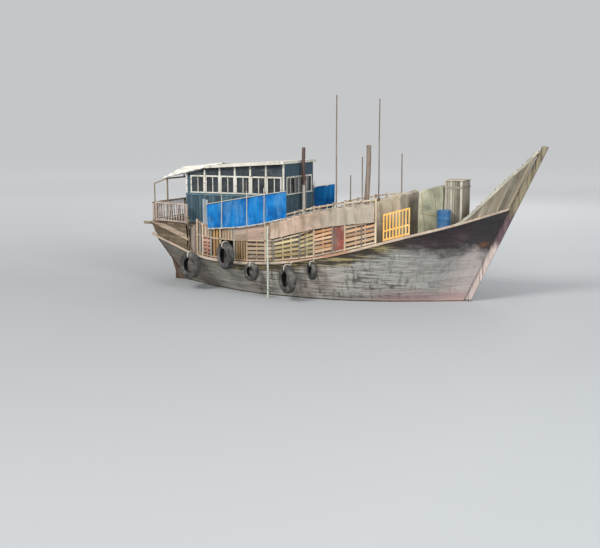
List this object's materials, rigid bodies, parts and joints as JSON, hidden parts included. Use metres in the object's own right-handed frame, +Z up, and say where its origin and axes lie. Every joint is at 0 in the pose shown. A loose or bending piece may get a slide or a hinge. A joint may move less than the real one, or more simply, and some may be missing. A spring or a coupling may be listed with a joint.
{
  "type": "wooden motor dhow",
  "caption": "Wooden dhow, afloat: flared planked hull, raked stem, slatted side screens, wheelhouse on a raised poop, rudder and propeller.",
  "frame": {"origin": "amidships on the centreline at the waterline", "axes": "+X forward to the bow, +Y to port, +Z up"},
  "size_m": [14.6642, 5.9412, 8.25],
  "materials": {
    "hull_planks": "weathered",
    "timber": "weathered",
    "deck_planks": "worn",
    "rail_wood": "weathered",
    "slat_wood": "weathered",
    "washboard_wood": "weathered",
    "balustrade_wood": "painted",
    "yellow_paint": "painted",
    "white_paint": "painted",
    "teal_paint": "painted",
    "blue_plastic": "satin",
    "blue_sheet": "satin",
    "cream_canvas": "matte",
    "grey_canvas": "matte",
    "white_canvas": "matte",
    "tyre_rubber": "matte",
    "engine_iron": "matte",
    "bronze": "satin"
  },
  "bodies": {
    "boat": {"hull_planking_port": "hull_planks", "hull_planking_starboard": "hull_planks", "stem_post": "timber", "keel": "timber", "sternpost": "timber", "transom": "timber", "stern_panel": "timber", "quarter_panel_port": "timber", "quarter_panel_starboard": "timber", "cap_rail_port": "rail_wood", "cap_rail_starboard": "rail_wood", "washboard_port": "washboard_wood", "washboard_starboard": "washboard_wood", "main_deck": "deck_planks", "foredeck": "deck_planks", "forepeak_bulkhead": "timber", "hatch_coaming": "timber", "engine_block": "engine_iron", "poop_deck": "deck_planks", "poop_frame_fore": "timber", "poop_frame_mid": "timber", "balustrade_port": "balustrade_wood", "balustrade_starboard": "balustrade_wood", "balustrade_aft": "balustrade_wood", "side_screen_port": "slat_wood", "side_screen_starboard": "slat_wood", "weather_cloth_port": "cream_canvas", "weather_cloth_starboard": "cream_canvas", "curtain_port": "blue_sheet", "curtain_starboard": "blue_sheet", "wheelhouse_wall_port": "teal_paint", "wheelhouse_wall_starboard": "teal_paint", "wheelhouse_front": "teal_paint", "wheelhouse_back": "teal_paint", "wheelhouse_roof": "white_paint", "aft_awning": "white_canvas", "awning_frame": "timber", "helm_pedestal": "timber", "mast": "timber", "poop_ladder": "timber", "fore_bitts": "timber", "yellow_grating": "yellow_paint", "blue_drum": "blue_plastic", "covered_locker_fore": "grey_canvas", "covered_locker_aft": "cream_canvas", "fenders_port": "tyre_rubber", "fenders_starboard": "tyre_rubber", "house_post": "timber", "outer_spar": "white_paint", "boarded_cupboard": "washboard_wood"},
    "rudder": {"rudder": "timber"},
    "propeller": {"propeller": "bronze"},
    "hatch_cover": {"hatch_cover": "deck_planks"},
    "wheelhouse_door": {"wheelhouse_door": "white_paint"},
    "helm_wheel": {"helm_wheel": "timber"}
  },
  "joints": [
    {"name": "rudder_turn", "type": "hinge", "parent": "boat", "child": "rudder", "pos_m": [-5.813, 0, 0], "axis": [-0.3714, 0, 0.9285], "range_deg": [-35, 35]},
    {"name": "helm_turn", "type": "hinge", "parent": "boat", "child": "helm_wheel", "pos_m": [-1.65, 0, 3.32], "axis": [1, 0, 0], "range_deg": [-360, 360]},
    {"name": "propeller_spin", "type": "hinge", "parent": "boat", "child": "propeller", "pos_m": [-5.7975, 0, -0.6], "axis": [1, 0, 0], "continuous": true},
    {"name": "hatch_cover_lift", "type": "hinge", "parent": "boat", "child": "hatch_cover", "pos_m": [0.65, 0.74, 1.156], "axis": [-1, 0, 0], "range_deg": [0, 95]},
    {"name": "wheelhouse_door_swing", "type": "hinge", "parent": "boat", "child": "wheelhouse_door", "pos_m": [-4.903, 0.334, 3.2], "axis": [0, 0, -1], "range_deg": [0, 100]}
  ],
  "couplings": [
    {"joint": "helm_turn", "follows": "rudder_turn", "ratio": 10}
  ]
}
